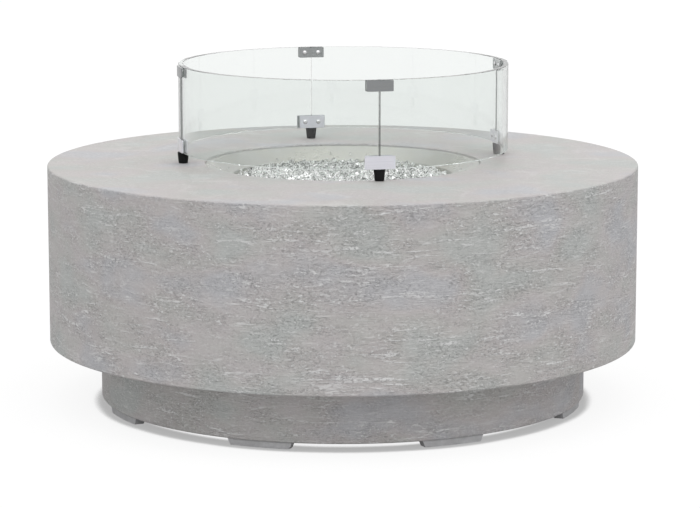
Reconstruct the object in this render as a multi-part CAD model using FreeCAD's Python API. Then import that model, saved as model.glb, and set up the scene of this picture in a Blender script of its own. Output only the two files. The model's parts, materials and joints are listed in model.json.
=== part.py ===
import FreeCAD, Part
import math
import os

# Round gas fire pit table: a cast stone drum on a recessed plinth, a drop-in burner with fire glass,
# gas controls in a recessed tray at the back, and a loose glass wind guard on the top.
# Millimetres. Origin on the floor at the drum's axis, +Z up, the front of the table faces -Y.
# Angles around the table are counted from the front, -Y, towards +X.

# Stone drum
drum_radius = 533.4
drum_height = 321.0
drum_wall = 20.0
drum_edge_radius = 3.0
top_thickness = 30.0
return_thickness = 24.0
return_edge_radius = 2.0
inner_corner_radius = 8.0

# Plinth and its pads
plinth_radius = 440.6
plinth_height = 102.0
plinth_wall = 22.0
plinth_edge_radius = 3.0
landing_recess = 0.5
landing_play = 2.0
pad_count = 8
pad_height = 12.0
pad_inset = 4.6
pad_depth = 17.0
pad_length = 117.0
pad_end_slope = 5.0
pad_first_angle = 26.0

# Angles that join the drum to the plinth
bracket_count = 6
bracket_first_angle = 30.0
bracket_landing = 23.6
bracket_width = 40.0
bracket_leg = 44.0
bracket_sheet = 3.0
bracket_bolt_drop = 28.0
lip_bolt_offset = 9.75
bolt_radius = 4.0
bolt_head_across = 13.0
bolt_head_height = 5.3
bolt_nut_height = 6.5
bolt_hole_play = 0.5
bolt_end = 3.0
wall_bolt_reach = 14.0

# Opening and burner pan
opening_radius = 248.6
opening_edge_radius = 3.0
pan_recess = 3.2
pan_flange_play = 0.8
pan_flange_width = 11.8
pan_bowl_radius = 198.5
pan_depth = 77.8
pan_sheet = 1.5
pan_corner_radius = 12.0
pan_rim_radius = 3.0
ledge_clearance = 2.0
weep_hole_count = 6
weep_hole_radius = 3.0
weep_edge_margin = 10.5

# Fire glass
bed_edge_drop = 24.0
bed_crown = 5.0
bed_side_gap = 0.4
bed_pocket_gap = 1.0

# Ring burner below the fire glass
burner_ring_radius = 145.0
burner_tube_radius = 8.0
burner_tube_wall = 1.2
burner_height = 24.0
burner_port_count = 24
burner_port_radius = 1.1
hub_radius = 13.0
hub_rise = 10.0
nipple_radius = 8.5
nipple_bore_radius = 5.0
nipple_drop = 22.5
locknut_across = 30.0
locknut_height = 7.0

# Ignition group in the pan
pilot_x = 62.0
pilot_y = 88.0
pilot_base_length = 40.0
pilot_base_depth = 26.0
pilot_sheet = 1.5
pilot_back_height = 22.0
hood_width = 24.0
hood_depth = 28.0
hood_height = 42.0
hood_slot_height = 5.0
hood_slot_levels = (0.35, 0.6)
hood_slot_length = 17.0
pilot_back_play = 0.5
probe_spacing = 5.5
electrode_radius = 3.2
electrode_rise = 24.0
electrode_drop = 16.0
spark_rod_radius = 1.0
spark_rod_length = 11.0
sensor_radius = 2.2
sensor_rise = 32.0
sensor_drop = 16.0
probe_collar_height = 2.5
probe_collar_wall = 1.2
pilot_screw_radius = 2.0
pilot_screw_head_radius = 3.4
pilot_screw_head_height = 2.0
pilot_screw_length = 10.0

# Gas lines and their ends
port_radius = 8.0
port_bore_radius = 4.0
port_length = 14.0
elbow_radius = 12.0
elbow_overlap = 12.0
elbow_reach = 34.0
elbow_end_wall = 2.0
flex_line_radius = 7.0
supply_hose_radius = 6.0
hose_nut_across = 22.0
hose_nut_on_port = 8.0
hose_nut_on_hose = 6.0
igniter_wire_radius = 1.5
sensor_lead_radius = 1.5

# Recessed control tray at the back
control_drop = 165.0
tray_width = 150.0
tray_height = 90.0
tray_depth = 42.0
tray_sheet = 1.5
tray_corner_radius = 12.0
tray_flange = 20.0
tray_setback = 0.9
tray_play = 0.6
screw_hole_play = 0.3
stem_hole_play = 0.6
tray_screw_radius = 2.5
tray_screw_head_radius = 4.4
tray_screw_head_height = 2.4
tray_screw_length = 14.0

# Gas valve, its stem and the knob
knob_offset = -32.0
valve_size = 38.0
valve_corner_radius = 2.0
valve_length = 40.0
valve_plug_radius = 8.0
valve_plug_length = 18.0
valve_end_wall = 6.0
plug_high_radius = 2.4
plug_low_radius = 0.8
valve_port_setback = 30.5
valve_screw_spacing = 28.0
valve_screw_radius = 2.0
valve_screw_head_radius = 3.2
valve_screw_head_height = 2.0
valve_screw_length = 9.0
sensor_port_radius = 4.0
sensor_port_length = 8.0
sensor_port_shift = 13.0
knob_travel = 4.0
collar_height = 8.0
collar_top_drop = 2.5
stem_radius = 4.0
stem_shoulder_radius = 5.5
stem_shoulder_height = 1.3
stem_flat = 3.0
stem_flat_start = 1.5
stem_end_step = 0.5
tongue_width = 3.0
tongue_breadth = 7.0
tongue_engagement = 3.5
slot_play = 0.3
slot_spare_depth = 1.5
running_clearance = 0.05
seat_gap = 0.2
knob_radius = 21.0
knob_height = 22.0
knob_skirt_height = 8.0
knob_lift = 6.5
knob_grip_width = 13.0
knob_pointer_width = 2.0
knob_pointer_depth = 0.8
knob_pointer_start = 4.0
knob_edge_radius = 0.8
knob_shoulder_radius = 2.0
knob_grip_corner = 2.5
knob_grip_step = 1.0
knob_stem_depth = 15.5
bezel_radius = 27.0
bezel_width = 4.5
bezel_height = 3.0
bezel_edge_radius = 1.2

# Push-button igniter
igniter_offset = 38.0
igniter_radius = 11.0
igniter_length = 60.0
igniter_flange_radius = 15.0
igniter_flange_height = 4.0
igniter_edge_radius = 1.2
igniter_chamber_depth = 8.0
igniter_nut_across = 28.0
igniter_nut_height = 5.0
battery_radius = 5.25
battery_length = 44.5
battery_play = 0.4
button_radius = 9.6
button_play = 0.1
button_rise = 7.0
button_root = 3.0
button_edge_radius = 1.5

# Gas inlet through the plinth's back wall
inlet_offset = -32.0
inlet_rise = 50.0
inlet_body_radius = 9.8
inlet_hole_play = 0.6
inlet_landing_radius = 19.0
inlet_hex_across = 26.0
inlet_hex_height = 8.0
inlet_thread_radius = 7.94
inlet_thread_length = 16.0
inlet_nut_height = 7.0

# Glass wind guard
guard_margin = 50.9
guard_side_shift = 1.0
guard_back_shift = 36.5
guard_turn = 12.3
glass_thickness = 8.0
glass_height = 155.7
glass_lift = 20.2
glass_edge_bevel = 0.6
glass_hole_radius = 4.6
panel_gap = 2.0

# Clips and feet of the guard
clip_sheet = 2.0
clip_corner_radius = 1.5
upper_clip_width = 47.5
upper_clip_height = 19.2
lower_clip_width = 54.5
lower_clip_height = 23.2
lower_clip_rise = 0.8
lower_backing_width = 48.0
clip_rim_drop = 0.7
clip_pad = 0.8
clip_pad_inset = 1.0
clip_screw_spacing = 26.0
clip_screw_radius = 2.0
clip_screw_head_radius = 4.2
clip_screw_head_height = 2.4
clip_recess_width = 1.1
clip_recess_length = 4.6
clip_recess_depth = 0.9
boss_radius = 3.8
boss_setback = 1.0
boss_end_wall = 1.5
screw_tip_gap = 0.5
spacer_play = 0.2
tang_rise = 6.0
tang_grip = 4.0
tang_setback = 1.0
foot_radius_top = 10.3
foot_radius_bottom = 8.3
foot_edge_radius = 2.0
foot_top_edge = 0.5

# How far a cutter runs past the face it cuts
overrun = 1.0

# Heights above the floor that follow from the sizes above
plinth_bottom = pad_height
drum_bottom = plinth_bottom + plinth_height
table_top = drum_bottom + drum_height
flange_top = table_top - pan_recess
pan_floor = flange_top - pan_depth
bed_edge = table_top - bed_edge_drop
burner_axis = pan_floor + burner_height
nipple_bottom = pan_floor - nipple_drop
elbow_axis = nipple_bottom - port_radius - elbow_end_wall
control_height = table_top - control_drop
inlet_height = plinth_bottom + inlet_rise
glass_bottom = table_top + glass_lift
glass_top = glass_bottom + glass_height

# Radii that follow from the sizes above
plinth_inner_radius = plinth_radius - plinth_wall
return_inner_radius = plinth_inner_radius - bracket_landing
drum_inner_radius = drum_radius - drum_wall
pan_flange_radius = opening_radius - pan_flange_play
pan_slope_radius = pan_flange_radius - pan_flange_width
weep_circle_radius = pan_bowl_radius - pan_corner_radius - weep_edge_margin
ledge_radius = pan_slope_radius + pan_sheet + ledge_clearance
guard_radius = opening_radius + guard_margin
glass_inner_radius = guard_radius - glass_thickness
glass_mid_radius = guard_radius - glass_thickness / 2

# Places of the control tray along Y
tray_half_width = tray_width / 2 + tray_sheet + tray_flange
tray_half_height = tray_height / 2 + tray_sheet + tray_flange
tray_face = math.sqrt(drum_radius ** 2 - tray_half_width ** 2) - tray_setback
tray_floor = tray_face - tray_depth

UP = FreeCAD.Vector(0, 0, 1)
ORIGIN = FreeCAD.Vector(0, 0, 0)


def vec(x, y, z):
    return FreeCAD.Vector(x, y, z)


def cylinder(radius, low, high, x=0.0, y=0.0):
    return Part.makeCylinder(radius, high - low, vec(x, y, low))


def rod_along_x(radius, low, high, y=0.0, z=0.0):
    return Part.makeCylinder(radius, high - low, vec(low, y, z), vec(1, 0, 0))


def rod_along_y(radius, low, high, x=0.0, z=0.0):
    return Part.makeCylinder(radius, high - low, vec(x, low, z), vec(0, 1, 0))


def drilled(shape, radius, low, high, x=0.0, y=0.0):
    """The shape with an upright hole that runs past both of its faces."""
    return shape.cut(cylinder(radius, low - overrun, high + overrun, x, y))


def block(x0, x1, y0, y1, z0, z1):
    return Part.makeBox(x1 - x0, y1 - y0, z1 - z0, vec(x0, y0, z0))


def rounded_outline(corners):
    """Closed wire through corners given as (point, radius), with an arc of that radius at each corner."""
    count = len(corners)
    stations = []
    for index, (point, radius) in enumerate(corners):
        if radius == 0:
            stations.append((point, None, point))
            continue
        before = corners[index - 1][0].sub(point).normalize()
        after = corners[(index + 1) % count][0].sub(point).normalize()
        half_angle = before.getAngle(after) / 2
        reach = radius / math.tan(half_angle)
        bisector = before.add(after).normalize()
        centre = point.add(bisector * (radius / math.sin(half_angle)))
        middle = centre.sub(bisector * radius)
        stations.append((point.add(before * reach), middle, point.add(after * reach)))
    edges = []
    for index, (start, middle, end) in enumerate(stations):
        if middle is not None:
            edges.append(Part.Arc(start, middle, end).toShape())
        following = stations[(index + 1) % count][0]
        if end.distanceToPoint(following) > 1e-6:
            edges.append(Part.LineSegment(end, following).toShape())
    return Part.Wire(edges)


def turned(corners):
    """Solid of revolution about Z from corners given as (radius, height, corner radius)."""
    wire = rounded_outline([(vec(r, 0, z), bend) for r, z, bend in corners])
    return Part.Face(wire).revolve(ORIGIN, UP, 360)


def rounded_slab(half_x, half_y, z0, z1, bend):
    """Rectangular slab centred on Z, its upright edges rounded."""
    corners = [(-half_x, -half_y), (half_x, -half_y), (half_x, half_y), (-half_x, half_y)]
    wire = rounded_outline([(vec(x, y, z0), bend) for x, y in corners])
    return Part.Face(wire).extrude(vec(0, 0, z1 - z0))


def hexagon(across, z0, z1):
    corner = vec(across / math.sqrt(3), 0, z0)
    points = [FreeCAD.Rotation(UP, 60 * k).multVec(corner) for k in range(6)]
    return Part.Face(Part.makePolygon(points + points[:1])).extrude(vec(0, 0, z1 - z0))


def placed(shape, turn=0.0, x=0.0, y=0.0, z=0.0):
    """Copy turned about Z, in degrees, and then moved."""
    copy = shape.copy()
    copy.rotate(ORIGIN, UP, turn)
    copy.translate(vec(x, y, z))
    return copy


def around(shape, angle):
    """Copy of a shape made on +X, carried round the table to an angle counted from the front."""
    return placed(shape, angle - 90)


def facing(shape, direction):
    """Copy of a shape made along +Z, turned so that +Z points in a direction."""
    copy = shape.copy()
    copy.Placement = FreeCAD.Placement(ORIGIN, FreeCAD.Rotation(UP, direction)).multiply(copy.Placement)
    return copy


def on_tray(shape, x):
    """Copy of a shape made with outward as +Z and up as -Y, set on the outer side of the tray's floor."""
    copy = shape.copy()
    copy.rotate(ORIGIN, vec(1, 0, 0), -90)
    copy.translate(vec(x, tray_floor, control_height))
    return copy


def group(shapes):
    return Part.makeCompound(shapes)


def tube_along(points, radius, name):
    """Round tube of straight runs joined by tangent arcs, each arc as large as its two runs allow."""
    edges = []
    bends = []
    start = points[0]
    for before, corner, after in zip(points, points[1:], points[2:]):
        back = before.sub(corner)
        ahead = after.sub(corner)
        shorter = min(back.Length, ahead.Length)
        half_angle = back.getAngle(ahead) / 2
        reach = 0.45 * shorter
        bend = reach * math.tan(half_angle)
        first = corner.add(back.normalize() * reach)
        last = corner.add(ahead.normalize() * reach)
        bisector = back.add(ahead).normalize()
        middle = corner.add(bisector * (bend / math.sin(half_angle) - bend))
        edges.append(Part.LineSegment(start, first).toShape())
        edges.append(Part.Arc(first, middle, last).toShape())
        start = last
        bends.append(bend)
    edges.append(Part.LineSegment(start, points[-1]).toShape())
    path = Part.Wire(edges)
    section = Part.Wire(Part.makeCircle(radius, points[0], points[1].sub(points[0])))
    tube = path.makePipeShell([section], True, False)
    expected = math.pi * radius ** 2 * path.Length
    print(name, "length", round(path.Length, 1), "tightest bend", round(min(bends), 1),
          "volume over section times length", round(tube.Volume / expected, 4))
    return tube


def domed_screw(shank_radius, length, head_radius, head_height):
    """Screw along -Z with its dome head standing on z = 0."""
    shank = cylinder(shank_radius, -length, 0)
    sphere_radius = (head_radius ** 2 + head_height ** 2) / (2 * head_height)
    dome = Part.makeSphere(sphere_radius, vec(0, 0, head_height - sphere_radius))
    head = dome.common(cylinder(head_radius, 0, head_height))
    return head.fuse(shank)


def cross_recessed(screw, head_height, width, length, depth):
    """The same screw with a cross cut into the top of its head."""
    first = block(-length / 2, length / 2, -width / 2, width / 2, head_height - depth, head_height)
    second = placed(first, 90)
    return screw.cut(first.fuse(second))


def hex_bolt(length):
    """Hexagon bolt along +Z, its head's seat at z = 0."""
    head = hexagon(bolt_head_across, -bolt_head_height, 0)
    return head.fuse(cylinder(bolt_radius, 0, length))


# Stone castings

def make_drum_shell():
    shell = turned([
        (return_inner_radius, drum_bottom, return_edge_radius),
        (drum_radius, drum_bottom, drum_edge_radius),
        (drum_radius, table_top, drum_edge_radius),
        (opening_radius, table_top, opening_edge_radius),
        (opening_radius, flange_top - pan_sheet, 0),
        (ledge_radius, flange_top - pan_sheet, 0),
        (ledge_radius, table_top - top_thickness, 0),
        (drum_inner_radius, table_top - top_thickness, inner_corner_radius),
        (drum_inner_radius, drum_bottom + return_thickness, inner_corner_radius),
        (return_inner_radius, drum_bottom + return_thickness, return_edge_radius),
    ])
    outside = drum_radius + overrun
    pocket = rounded_slab(tray_half_width + tray_play, tray_half_height + tray_play,
                          tray_face - tray_sheet, outside, tray_corner_radius)
    window = rounded_slab(tray_width / 2 + tray_sheet + tray_play, tray_height / 2 + tray_sheet + tray_play,
                          tray_floor, outside, tray_corner_radius)
    cutter = pocket.fuse(window)
    for x, y in tray_screw_places():
        cutter = cutter.fuse(cylinder(tray_screw_radius + running_clearance,
                                      tray_face - tray_sheet - tray_screw_length, tray_face, x, y))
    cutter.rotate(ORIGIN, vec(1, 0, 0), -90)
    cutter.translate(vec(0, 0, control_height))
    shell = shell.cut(cutter)
    hole = cylinder(bolt_radius + bolt_hole_play, drum_bottom - overrun,
                    drum_bottom + return_thickness + overrun, lip_bolt_radius())
    for angle in bracket_angles():
        shell = shell.cut(around(hole, angle))
    return shell


def make_plinth_ring():
    ring = turned([
        (plinth_inner_radius, plinth_bottom, 0),
        (plinth_radius, plinth_bottom, plinth_edge_radius),
        (plinth_radius, drum_bottom, 0),
        (plinth_inner_radius, drum_bottom, 0),
    ])
    inner_face, outer_face = inlet_faces()
    ring = ring.cut(rod_along_y(inlet_body_radius + inlet_hole_play, plinth_inner_radius - plinth_wall,
                                plinth_radius + plinth_wall, inlet_offset, inlet_height))
    ring = ring.cut(rod_along_y(inlet_landing_radius, plinth_inner_radius - plinth_wall, inner_face,
                                inlet_offset, inlet_height))
    ring = ring.cut(rod_along_y(inlet_landing_radius, outer_face, plinth_radius + plinth_wall,
                                inlet_offset, inlet_height))
    half = bracket_width / 2 + landing_play
    landing = block(plinth_inner_radius - plinth_wall, bracket_back(), -half, half,
                    drum_bottom - bracket_leg - landing_play, drum_bottom + overrun)
    hole = rod_along_x(bolt_radius + running_clearance, bracket_back() - overrun,
                       bracket_back() + wall_bolt_reach + bolt_hole_play, 0, wall_bolt_height())
    for angle in bracket_angles():
        ring = ring.cut(around(landing.fuse(hole), angle))
    return ring


def make_foot_pads():
    outer = plinth_radius - pad_inset
    half = pad_length / 2
    outline = [vec(0, -half, pad_height), vec(0, -half + pad_end_slope, 0),
               vec(0, half - pad_end_slope, 0), vec(0, half, pad_height)]
    prism = Part.Face(Part.makePolygon(outline + outline[:1])).extrude(vec(drum_radius, 0, 0))
    band = cylinder(outer, 0, pad_height).cut(cylinder(outer - pad_depth, 0, pad_height))
    pad = band.common(prism)
    return group([around(pad, pad_first_angle + k * 360 / pad_count) for k in range(pad_count)])


# Joint between drum and plinth

def bracket_angles():
    return [bracket_first_angle + k * 360 / bracket_count for k in range(bracket_count)]


def bracket_back():
    """Distance from the axis to the flat landings in the plinth's wall that the brackets are bolted to."""
    return plinth_inner_radius + landing_recess


def lip_bolt_radius():
    return bracket_back() - bracket_sheet - lip_bolt_offset


def wall_bolt_height():
    return drum_bottom - bracket_bolt_drop


def make_joining_brackets():
    back = bracket_back()
    half = bracket_width / 2
    shelf = block(return_inner_radius, back, -half, half, drum_bottom - bracket_sheet, drum_bottom)
    upright = block(back - bracket_sheet, back, -half, half, drum_bottom - bracket_leg, drum_bottom)
    bracket = shelf.fuse(upright).removeSplitter()
    hole = bolt_radius + bolt_hole_play
    bracket = drilled(bracket, hole, drum_bottom - bracket_sheet, drum_bottom, lip_bolt_radius())
    bracket = bracket.cut(rod_along_x(hole, back - bracket_sheet - overrun, back + overrun,
                                      0, wall_bolt_height()))
    return group([around(bracket, angle) for angle in bracket_angles()])


def make_lip_bolts():
    length = bracket_sheet + return_thickness + bolt_nut_height + bolt_end
    bolt = placed(hex_bolt(length), 0, lip_bolt_radius(), 0, drum_bottom - bracket_sheet)
    return group([around(bolt, angle) for angle in bracket_angles()])


def make_lip_nuts():
    seat = drum_bottom + return_thickness
    nut = hexagon(bolt_head_across, seat, seat + bolt_nut_height)
    nut = drilled(nut, bolt_radius + running_clearance, seat, seat + bolt_nut_height)
    nut.translate(vec(lip_bolt_radius(), 0, 0))
    return group([around(nut, angle) for angle in bracket_angles()])


def make_wall_bolts():
    seat = bracket_back() - bracket_sheet
    length = bracket_sheet + wall_bolt_reach
    bolt = facing(hex_bolt(length), vec(1, 0, 0))
    bolt.translate(vec(seat, 0, wall_bolt_height()))
    return group([around(bolt, angle) for angle in bracket_angles()])


# Burner pan and burner

def make_burner_pan():
    """A sheet pan: a narrow flat flange, a slope down to the glass bed, and a bowl below it."""
    outer_bowl = pan_bowl_radius + pan_sheet
    hole = nipple_radius + screw_hole_play
    slope = math.atan2(flange_top - bed_edge, pan_slope_radius - pan_bowl_radius)
    rim_shift = pan_sheet * math.tan(slope / 2)
    foot_shift = pan_sheet * math.tan(math.pi / 4 - slope / 2)
    pan = turned([
        (hole, pan_floor - pan_sheet, 0),
        (outer_bowl, pan_floor - pan_sheet, pan_corner_radius + pan_sheet),
        (outer_bowl, bed_edge - foot_shift, pan_rim_radius),
        (pan_slope_radius + rim_shift, flange_top - pan_sheet, pan_rim_radius),
        (pan_flange_radius, flange_top - pan_sheet, 0),
        (pan_flange_radius, flange_top, 0),
        (pan_slope_radius, flange_top, pan_rim_radius + pan_sheet),
        (pan_bowl_radius, bed_edge, pan_rim_radius + pan_sheet),
        (pan_bowl_radius, pan_floor, pan_corner_radius),
        (hole, pan_floor, 0),
    ])
    weep = cylinder(weep_hole_radius, pan_floor - pan_sheet - overrun, pan_floor + overrun,
                    weep_circle_radius)
    for k in range(weep_hole_count):
        pan = pan.cut(around(weep, k * 360 / weep_hole_count))
    for x, radius in pilot_floor_holes():
        pan = drilled(pan, radius, pan_floor - pan_sheet, pan_floor, x, pilot_y)
    return pan


def pilot_floor_holes():
    """Holes for electrode, sensor and the two screws, as (x, radius)."""
    screw = pilot_screw_radius + running_clearance
    return [
        (pilot_x + probe_spacing, electrode_radius + seat_gap),
        (pilot_x - probe_spacing, sensor_radius + seat_gap),
        (pilot_x - pilot_screw_shift(), screw),
        (pilot_x + pilot_screw_shift(), screw),
    ]


def pilot_screw_shift():
    return (hood_width + pilot_base_length) / 4


def make_burner_ring():
    ring = Part.makeTorus(burner_ring_radius, burner_tube_radius, vec(0, 0, burner_axis))
    cross = rod_along_x(burner_tube_radius, -burner_ring_radius, burner_ring_radius, 0, burner_axis)
    hub = cylinder(hub_radius, pan_floor, burner_axis + hub_rise)
    nipple = cylinder(nipple_radius, nipple_bottom, burner_axis)
    bore = burner_tube_radius - burner_tube_wall
    ring_bore = Part.makeTorus(burner_ring_radius, bore, vec(0, 0, burner_axis))
    cross_bore = rod_along_x(bore, -burner_ring_radius, burner_ring_radius, 0, burner_axis)
    nipple_bore = cylinder(nipple_bore_radius, nipple_bottom - overrun, burner_axis)
    burner = ring.fuse([cross, hub, nipple]).cut(ring_bore.fuse([cross_bore, nipple_bore]))
    for k in range(burner_port_count):
        port = cylinder(burner_port_radius, burner_axis, burner_axis + burner_tube_radius + overrun,
                        burner_ring_radius)
        burner = burner.cut(placed(port, (k + 0.5) * 360 / burner_port_count))
    return burner


def make_hub_locknut():
    top = pan_floor - pan_sheet
    nut = hexagon(locknut_across, top - locknut_height, top)
    return drilled(nut, nipple_radius + running_clearance, top - locknut_height, top)


def make_gas_elbow():
    top = nipple_bottom + elbow_overlap
    body = cylinder(elbow_radius, elbow_axis - elbow_radius, top)
    outlet = rod_along_y(port_radius, 0, elbow_reach, 0, elbow_axis)
    socket = cylinder(nipple_radius + running_clearance, nipple_bottom, top + overrun)
    drop = cylinder(port_bore_radius, elbow_axis, nipple_bottom + overrun)
    bore = rod_along_y(port_bore_radius, 0, elbow_reach + overrun, 0, elbow_axis)
    return body.fuse(outlet).cut(socket.fuse([drop, bore]))


def make_fire_glass_bed():
    side = pan_bowl_radius - bed_side_gap
    crown = bed_edge + bed_crown
    corner = pan_corner_radius
    low = vec(0, 0, pan_floor)
    low_out = vec(side - corner, 0, pan_floor)
    bend = vec(side - corner * (1 - math.sin(math.radians(45))), 0,
               pan_floor + corner * (1 - math.cos(math.radians(45))))
    side_low = vec(side, 0, pan_floor + corner)
    side_high = vec(side, 0, bed_edge)
    dome_radius = (side ** 2 + bed_crown ** 2) / (2 * bed_crown)
    half_angle = math.asin(side / dome_radius) / 2
    slope = vec(dome_radius * math.sin(half_angle), 0, crown - dome_radius * (1 - math.cos(half_angle)))
    top = vec(0, 0, crown)
    wire = Part.Wire([
        Part.LineSegment(low, low_out).toShape(),
        Part.Arc(low_out, bend, side_low).toShape(),
        Part.LineSegment(side_low, side_high).toShape(),
        Part.Arc(side_high, slope, top).toShape(),
        Part.LineSegment(top, low).toShape(),
    ])
    bed = Part.Face(wire).revolve(ORIGIN, UP, 360)
    reach = burner_tube_radius + bed_pocket_gap
    below = pan_floor - overrun
    groove_top = burner_axis + reach
    groove = cylinder(burner_ring_radius + reach, below, groove_top)
    groove = groove.cut(cylinder(burner_ring_radius - reach, below, groove_top))
    trench = block(-burner_ring_radius, burner_ring_radius, -reach, reach, below, groove_top)
    hub_room = cylinder(hub_radius + bed_pocket_gap, below, burner_axis + hub_rise + bed_pocket_gap)
    half_length = pilot_base_length / 2 + bed_pocket_gap
    half_depth = hood_depth / 2 + bed_pocket_gap
    hood_room = block(-half_length, half_length, -half_depth, half_depth,
                      below, pan_floor + pilot_sheet + hood_height + bed_pocket_gap)
    hood_room.translate(vec(pilot_x, pilot_y, 0))
    return bed.cut(groove.fuse([trench, hub_room, hood_room]))


# Ignition group

def make_pilot_bracket():
    half = pilot_base_length / 2
    depth = pilot_base_depth / 2
    base = block(-half, half, -depth, depth, 0, pilot_sheet)
    back_half = hood_width / 2 - pilot_sheet - pilot_back_play
    upright = block(-back_half, back_half, depth - pilot_sheet, depth, 0, pilot_back_height)
    bracket = base.fuse(upright).removeSplitter()
    bracket.translate(vec(pilot_x, pilot_y, pan_floor))
    for x, radius in pilot_floor_holes():
        bracket = drilled(bracket, radius, pan_floor, pan_floor + pilot_sheet, x, pilot_y)
    return bracket


def make_pilot_hood():
    half = hood_width / 2
    depth = hood_depth / 2
    wide = pilot_base_length / 2
    hood = block(-half, half, -depth, depth, 0, hood_height)
    inside = half - pilot_sheet
    hood = hood.cut(block(-inside, inside, -depth, depth, 0, hood_height - pilot_sheet))
    for side in (-1, 1):
        inner, outer = sorted((side * inside, side * wide))
        hood = hood.fuse(block(inner, outer, -depth, depth, 0, pilot_sheet))
    hood = hood.removeSplitter()
    slot = hood_slot_length / 2
    for level in hood_slot_levels:
        z = hood_height * level
        hood = hood.cut(block(-wide, wide, -slot, slot, z, z + hood_slot_height))
    for side in (-1, 1):
        hood = drilled(hood, pilot_screw_radius + running_clearance, 0, pilot_sheet,
                       side * pilot_screw_shift())
    return placed(hood, 0, pilot_x, pilot_y, pan_floor + pilot_sheet)


def probe(radius, drop, rise):
    """Upright probe with a collar that sits on the bracket, its foot below the pan."""
    seat = pan_floor + pilot_sheet
    rod = cylinder(radius, pan_floor - drop, pan_floor + rise)
    return rod.fuse(cylinder(radius + probe_collar_wall, seat, seat + probe_collar_height))


def make_spark_electrode():
    ceramic = probe(electrode_radius, electrode_drop, electrode_rise)
    ceramic_top = pan_floor + electrode_rise
    tip = cylinder(spark_rod_radius, ceramic_top, ceramic_top + spark_rod_length)
    return placed(ceramic.fuse(tip), 0, pilot_x + probe_spacing, pilot_y)


def make_flame_sensor():
    return placed(probe(sensor_radius, sensor_drop, sensor_rise), 0, pilot_x - probe_spacing, pilot_y)


def make_pilot_screws():
    screw = domed_screw(pilot_screw_radius, pilot_screw_length,
                        pilot_screw_head_radius, pilot_screw_head_height)
    seat = pan_floor + 2 * pilot_sheet
    places = [pilot_x + side * pilot_screw_shift() for side in (-1, 1)]
    return group([placed(screw, 0, x, pilot_y, seat) for x in places])


# Controls in the recessed tray; outward is +Z here, and the table's top lies towards -Y

def tray_screw_places():
    x = tray_width / 2 + tray_sheet + tray_flange / 2
    y = tray_height / 2 + tray_sheet + tray_flange / 2
    return [(-x, -y), (x, -y), (x, y), (-x, y)]


def valve_screw_places():
    return (-valve_screw_spacing / 2, valve_screw_spacing / 2)


def make_control_tray():
    half_x = tray_width / 2
    half_y = tray_height / 2
    flange = rounded_slab(tray_half_width, tray_half_height, tray_depth - tray_sheet, tray_depth,
                          tray_corner_radius)
    shell = rounded_slab(half_x + tray_sheet, half_y + tray_sheet, -tray_sheet, tray_depth,
                         tray_corner_radius)
    hollow = rounded_slab(half_x, half_y, 0, tray_depth + overrun, tray_corner_radius - tray_sheet)
    tray = flange.fuse(shell).removeSplitter().cut(hollow)
    for x, y in tray_screw_places():
        tray = drilled(tray, tray_screw_radius + screw_hole_play, tray_depth - tray_sheet, tray_depth, x, y)
    for x in valve_screw_places():
        tray = drilled(tray, valve_screw_radius + screw_hole_play, -tray_sheet, 0, knob_offset + x)
    tray = drilled(tray, stem_radius + stem_hole_play, -tray_sheet, 0, knob_offset)
    tray = drilled(tray, igniter_radius + screw_hole_play, -tray_sheet, 0, igniter_offset)
    return on_tray(tray, 0)


def make_tray_screws():
    screw = domed_screw(tray_screw_radius, tray_screw_length,
                        tray_screw_head_radius, tray_screw_head_height)
    return on_tray(group([placed(screw, 0, x, y, tray_depth) for x, y in tray_screw_places()]), 0)


def valve_levels():
    """Front face, bore end and back face of the valve body, and the plug's back and front."""
    front = -tray_sheet
    back = front - valve_length
    bore_end = back + valve_end_wall
    plug_back = bore_end + seat_gap
    return front, bore_end, back, plug_back, plug_back + valve_plug_length


def collar_levels():
    top = -tray_sheet - collar_top_drop
    return top - collar_height, top


def make_gas_valve():
    front, bore_end, back, plug_back, plug_front = valve_levels()
    half = valve_size / 2
    body = rounded_slab(half, half, back, front, valve_corner_radius)
    inlet = cylinder(port_radius, back - port_length, back)
    outlet = rod_along_y(port_radius, -half - port_length, 0, 0, -valve_port_setback)
    sensor_port = cylinder(sensor_port_radius, back - sensor_port_length, back,
                           sensor_port_shift, -sensor_port_shift)
    body = body.fuse([inlet, outlet, sensor_port])
    chamber = cylinder(valve_plug_radius + running_clearance, bore_end, front + overrun)
    inlet_bore = cylinder(port_bore_radius, back - port_length - overrun, bore_end + overrun)
    outlet_bore = rod_along_y(port_bore_radius, -half - port_length - overrun, 0, 0, -valve_port_setback)
    body = body.cut(chamber.fuse([inlet_bore, outlet_bore]))
    for x in valve_screw_places():
        body = body.cut(cylinder(valve_screw_radius + running_clearance, front - valve_screw_length,
                                 front + overrun, x))
    return on_tray(body, knob_offset)


def make_valve_plug():
    front, bore_end, back, plug_back, plug_front = valve_levels()
    plug = cylinder(valve_plug_radius, plug_back, plug_front)
    slot_bottom = stem_tongue_end() - knob_travel - slot_spare_depth
    half_width = tongue_width / 2 + slot_play
    half_breadth = tongue_breadth / 2 + slot_play
    slot = block(-half_breadth, half_breadth, -half_width, half_width, slot_bottom, plug_front + overrun)
    axial = cylinder(plug_high_radius, plug_back - overrun, -valve_port_setback)
    high = rod_along_x(plug_high_radius, -valve_plug_radius - overrun, 0, 0, -valve_port_setback)
    low = rod_along_y(plug_low_radius, 0, valve_plug_radius + overrun, 0, -valve_port_setback)
    return on_tray(plug.cut(slot.fuse([axial, high, low])), knob_offset)


def stem_tongue_end():
    front, bore_end, back, plug_back, plug_front = valve_levels()
    return plug_front - tongue_engagement


def stem_top():
    return knob_lift + knob_stem_depth


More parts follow.
